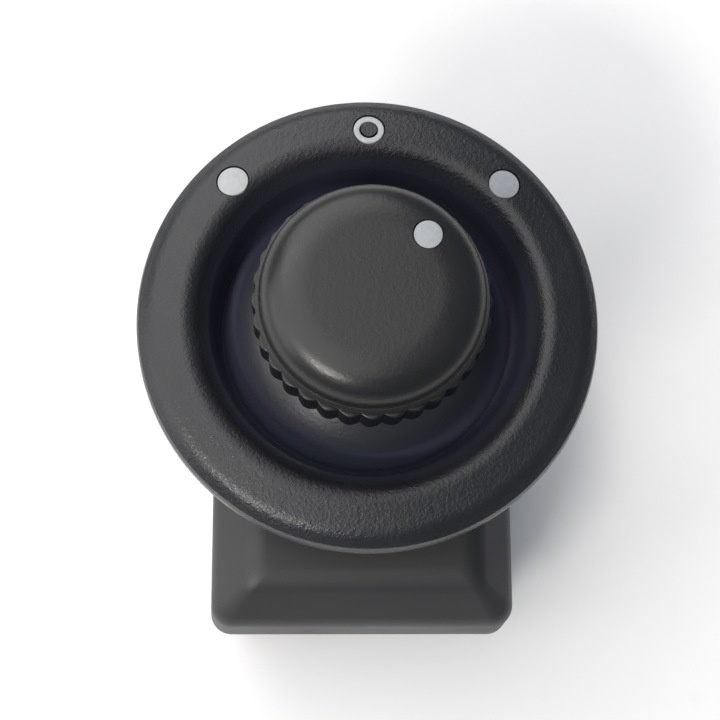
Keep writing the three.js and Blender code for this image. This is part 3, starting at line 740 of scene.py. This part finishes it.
# ---- Springs ----
def tube(name, points, radius, sides=12):
    """A round wire through points, with flat ends."""
    bm = bmesh.new()
    rows = []
    for i, point in enumerate(points):
        at = Vector(point)
        ahead = Vector(points[min(i + 1, len(points) - 1)])
        behind = Vector(points[max(i - 1, 0)])
        along = (ahead - behind).normalized()
        across = along.cross(Vector((0, 0, 1))).normalized()
        up = across.cross(along)
        row = []
        for side in range(sides):
            angle = 2 * math.pi * side / sides
            row.append(bm.verts.new(at + (across * math.cos(angle) + up * math.sin(angle)) * radius))
        rows.append(row)
    for low, high in zip(rows, rows[1:]):
        for i in range(sides):
            j = (i + 1) % sides
            bm.faces.new((low[i], low[j], high[j], high[i]))
    bm.faces.new(rows[0][::-1])
    bm.faces.new(rows[-1])
    return finish_mesh(name, bm)


def make_return_spring():
    wire, radius, turns, per_turn = 0.25, 1.9, 5, 40
    low, high = SPRING_LOW[2] + wire, SPRING_HIGH[2] - wire
    count = turns * per_turn
    points = []
    for i in range(count + 1):
        angle = 2 * math.pi * i / per_turn
        points.append((radius * math.cos(angle), radius * math.sin(angle), low + (high - low) * i / count))
    spring = tube("return_spring_coil", points, wire)
    smooth(spring, 60)
    dress(spring, "steel", "base", "return_spring")


make_housing()
make_cover()
for number, at in enumerate(SCREW_AT, 1):
    make_screw(number, at)
make_bezel()
for node, position in (("mark_left", -1), ("mark_off_ring", 0), ("mark_right", 1)):
    make_mark(node, position)
make_knob_cap()
make_knob_mark()
make_grip()
make_return_spring()

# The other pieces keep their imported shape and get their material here.
slots = {row["node"]: row["material_slot"] for row in frame["record"]["subparts"]}
for name, obj in frame["nodes"].items():
    obj.data.materials.clear()
    obj.data.materials.append(MATERIALS[slots[name]])


# ---- Table, light and camera ----
def make_table():
    """A white table near the object, turning dark beyond it: painted shade for the shaded surroundings that
    the object reflects.
    """
    bm = bmesh.new()
    half, height = 900, -0.02
    corners = ((-half, -half), (half, -half), (half, half), (-half, half))
    bm.faces.new([bm.verts.new((x, y, height)) for x, y in corners])
    table = finish_mesh("table", bm)
    n = Nodes("white laminate")
    tone = n.noise(40, 3.0)
    scuffs = n.span(n.noise(9, 6.0, 0.7), 0.62, 0.7, 0.0, 0.05)
    colour = n.blend(n.span(tone, 0.35, 0.7, 0.0, 1.0), (0.78, 0.77, 0.76), (0.84, 0.83, 0.82))
    colour = n.blend(scuffs, colour, (0.5, 0.48, 0.46))
    # Painted shade: beyond about 0.2 m the table turns dark, nearest on the south-east, standing in for
    # dark surroundings seen in reflections.
    moved = n.add("ShaderNodeVectorMath", {0: n.place, 1: (0.06, -0.06, 0)}, operation="ADD").outputs[0]
    away = n.add("ShaderNodeVectorMath", {0: moved}, operation="LENGTH").outputs["Value"]
    colour = n.blend(n.span(away, 0.17, 0.27, 0.0, 1.0), colour, (0.10, 0.095, 0.09))
    n.shade(Base_Color=colour, Roughness=n.span(tone, 0.3, 0.7, 0.42, 0.5))
    table.data.materials.append(n.material)


def soft_panel(name, place, aim, size, radiance, colour):
    """A rectangular soft light at a place, aimed at a point, in metres."""
    data = bpy.data.lights.new(name, "AREA")
    data.shape = "RECTANGLE"
    data.size, data.size_y = size
    data.energy = radiance * math.pi * size[0] * size[1]
    data.color = colour
    light = bpy.data.objects.new(name, data)
    bpy.context.scene.collection.objects.link(light)
    light.location = place
    light.rotation_euler = (Vector(place) - Vector(aim)).to_track_quat("Z", "Y").to_euler()


def direction(azimuth, elevation, distance):
    """A place seen from the object in this direction, in degrees and metres."""
    turned, raised = math.radians(azimuth), math.radians(elevation)
    flat = distance * math.cos(raised)
    return (flat * math.cos(turned), flat * math.sin(turned), 0.03 + distance * math.sin(raised))


def make_light():
    world = bpy.data.worlds.new("room")
    world.use_nodes = True
    background = world.node_tree.nodes["Background"]
    background.inputs["Color"].default_value = (0.72, 0.82, 1.0, 1)
    background.inputs["Strength"].default_value = 0.3
    bpy.context.scene.world = world
    centre = (0, 0, 0.03)
    soft_panel("ceiling", (-0.62, 0.0, 1.0), centre, (1.2, 1.8), 1.9, (1.0, 0.985, 0.96))
    soft_panel("window", direction(232, 43, 1.0), centre, (0.3, 0.16), 34.0, (1.0, 0.97, 0.93))
    soft_panel("north", direction(112, 38, 1.2), centre, (1.1, 1.0), 2.4, (1.0, 0.98, 0.96))
    soft_panel("west", direction(188, 12, 1.2), centre, (1.0, 0.35), 2.4, (1.0, 0.985, 0.96))


def make_camera():
    data = bpy.data.cameras.new("camera")
    data.lens = 72
    data.sensor_width = 36
    data.clip_start = 0.01
    camera = bpy.data.objects.new("camera", data)
    bpy.context.scene.collection.objects.link(camera)
    camera.location = Vector((-5.16, -28.18, 145.84)) * MM
    camera.rotation_euler = [math.radians(angle) for angle in (12.21, -2.2, -0.12)]
    bpy.context.scene.camera = camera


make_table()
make_light()
make_camera()
bpy.context.scene.view_settings.view_transform = "Standard"
